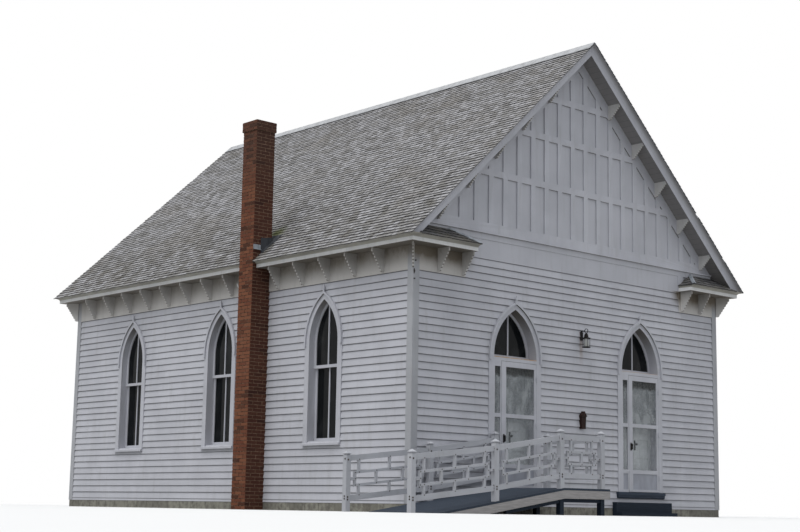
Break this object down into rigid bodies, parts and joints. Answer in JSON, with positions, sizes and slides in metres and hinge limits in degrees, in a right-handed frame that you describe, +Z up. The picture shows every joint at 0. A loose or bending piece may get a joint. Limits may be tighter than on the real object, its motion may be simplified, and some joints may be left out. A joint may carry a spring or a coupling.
{
  "type": "chapel",
  "caption": "Small white timber chapel with clapboard walls, steep shingled gable roof, pointed windows and doorways, sawn brackets, brick chimney and a timber ramp",
  "frame": {"origin": "underside of the foundation, below the middle of the front wall's outer face", "axes": "+X to the right seen from the front, +Y from the front wall to the rear, +Z up"},
  "size_m": [10.241, 12.935, 8.7974],
  "materials": {
    "white_paint": "weathered white paint on timber",
    "roof_shingle": "weathered grey brown shingles",
    "ridge_metal": "dull metal ridge",
    "brick": "red brown brick",
    "masonry": "grey foundation blocks",
    "timber": "bare boards",
    "inner_door": "painted panelled door",
    "navy_paint": "dark blue paint",
    "deck_paint": "slate blue deck paint",
    "skirt_paint": "tan white paint",
    "rail_paint": "white paint",
    "glass": "dark window glass",
    "black_iron": "black lantern",
    "box_wood": "dark brown box",
    "lamp_metal": "pale lamp housings"
  },
  "bodies": {
    "chapel": {"chimney": "brick", "chimney_band": "brick", "corner_boards": "white_paint", "cornice_returns": "white_paint", "door_frames": "white_paint", "door_sills": "navy_paint", "end_railing": "rail_paint", "floodlight": "lamp_metal", "floor": "timber", "floor_joists": "timber", "foundation": "masonry", "frieze_boards": "white_paint", "front_gable": "white_paint", "front_gable_battens": "white_paint", "front_railing": "rail_paint", "front_rake_boards": "white_paint", "front_sill_beam": "timber", "front_wall_left": "white_paint", "front_wall_middle": "white_paint", "front_wall_right": "white_paint", "gable_brackets": "white_paint", "hood_moulds": "white_paint", "left_eave": "white_paint", "left_eave_brackets": "white_paint", "left_roof": "roof_shingle", "left_wall": "white_paint", "ramp_deck": "deck_paint", "ramp_skirts": "skirt_paint", "ramp_supports": "navy_paint", "rear_gable_battens": "white_paint", "rear_rake_boards": "white_paint", "rear_wall": "white_paint", "return_roofs": "roof_shingle", "ridge_cap": "ridge_metal", "right_door_step": "navy_paint", "right_eave": "white_paint", "right_eave_brackets": "white_paint", "right_roof": "roof_shingle", "right_wall": "white_paint", "sidelight_glass": "glass", "storm_sidelights": "white_paint", "wall_box": "box_wood", "wall_lantern": "black_iron", "wall_over_left_door": "white_paint", "wall_over_right_door": "white_paint", "wall_railing": "rail_paint", "window_frames": "white_paint", "window_glass": "glass", "window_sashes": "white_paint"},
    "left_storm_door": {"left_storm_door": "white_paint", "left_storm_glass": "glass", "left_storm_handle": "black_iron"},
    "right_storm_door": {"right_storm_door": "white_paint", "right_storm_glass": "glass", "right_storm_handle": "black_iron"},
    "left_door_left_leaf": {"left_door_left_leaf": "inner_door"},
    "left_door_right_leaf": {"left_door_right_leaf": "inner_door"},
    "right_door_left_leaf": {"right_door_left_leaf": "inner_door"},
    "right_door_right_leaf": {"right_door_right_leaf": "inner_door"}
  },
  "joints": [
    {"name": "left_storm_door_hinge", "type": "hinge", "parent": "chapel", "child": "left_storm_door", "pos_m": [-1.1895, -0.0383, 1.54], "axis": [0, 0, 1], "range_deg": [0, 76]},
    {"name": "right_storm_door_hinge", "type": "hinge", "parent": "chapel", "child": "right_storm_door", "pos_m": [2.2645, -0.0383, 1.54], "axis": [0, 0, 1], "range_deg": [0, 100]},
    {"name": "left_door_left_leaf_hinge", "type": "hinge", "parent": "chapel", "child": "left_door_left_leaf", "pos_m": [-2.2645, 0.2083, 1.54], "axis": [0, 0, 1], "range_deg": [0, 90]},
    {"name": "left_door_right_leaf_hinge", "type": "hinge", "parent": "chapel", "child": "left_door_right_leaf", "pos_m": [-1.1895, 0.2083, 1.54], "axis": [0, 0, -1], "range_deg": [0, 90]},
    {"name": "right_door_left_leaf_hinge", "type": "hinge", "parent": "chapel", "child": "right_door_left_leaf", "pos_m": [1.1895, 0.2083, 1.54], "axis": [0, 0, 1], "range_deg": [0, 90]},
    {"name": "right_door_right_leaf_hinge", "type": "hinge", "parent": "chapel", "child": "right_door_right_leaf", "pos_m": [2.2645, 0.2083, 1.54], "axis": [0, 0, -1], "range_deg": [0, 90]}
  ]
}
